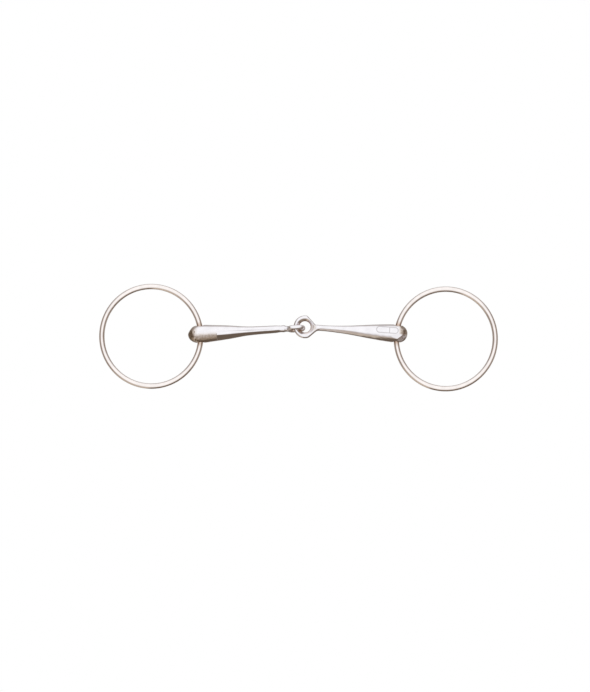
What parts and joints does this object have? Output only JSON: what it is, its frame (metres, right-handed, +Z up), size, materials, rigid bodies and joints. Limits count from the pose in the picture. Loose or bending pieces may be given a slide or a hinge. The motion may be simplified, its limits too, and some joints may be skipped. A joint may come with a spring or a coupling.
{
  "type": "snaffle bit",
  "caption": "Loose-ring jointed snaffle bit: tapered steel cannons linked at the middle by their eyes, each with a large round wire ring through its thick end for cheekpiece and rein.",
  "frame": {"origin": "middle of the bit's base, on the surface it lies flat on", "axes": "+X along the mouthpiece towards the right ring, +Y the way the joint bends up, +Z up from the surface"},
  "size_m": [0.2664, 0.0718, 0.0121],
  "materials": {
    "mouthpiece": "polished",
    "rings": "polished"
  },
  "bodies": {
    "right_cannon": {"right_cannon": "mouthpiece"},
    "left_cannon": {"left_cannon": "mouthpiece"},
    "left_ring": {"left_ring": "rings"},
    "right_ring": {"right_ring": "rings"}
  },
  "joints": [
    {"name": "centre_link", "type": "hinge", "parent": "right_cannon", "child": "left_cannon", "pos_m": [0.00428, 0.00717, 0.00605], "axis": [0, 0, 1], "range_deg": [-103, 87]},
    {"name": "left_ring_swing", "type": "hinge", "parent": "left_cannon", "child": "left_ring", "pos_m": [-0.06546, 0.00237, 0.00605], "axis": [-0.0454, 0.999, 0], "range_deg": [-120, 120]},
    {"name": "right_ring_swing", "type": "hinge", "parent": "right_cannon", "child": "right_ring", "pos_m": [0.06562, 0.00267, 0.00605], "axis": [-0.108, -0.9942, 0], "range_deg": [-120, 120]}
  ]
}
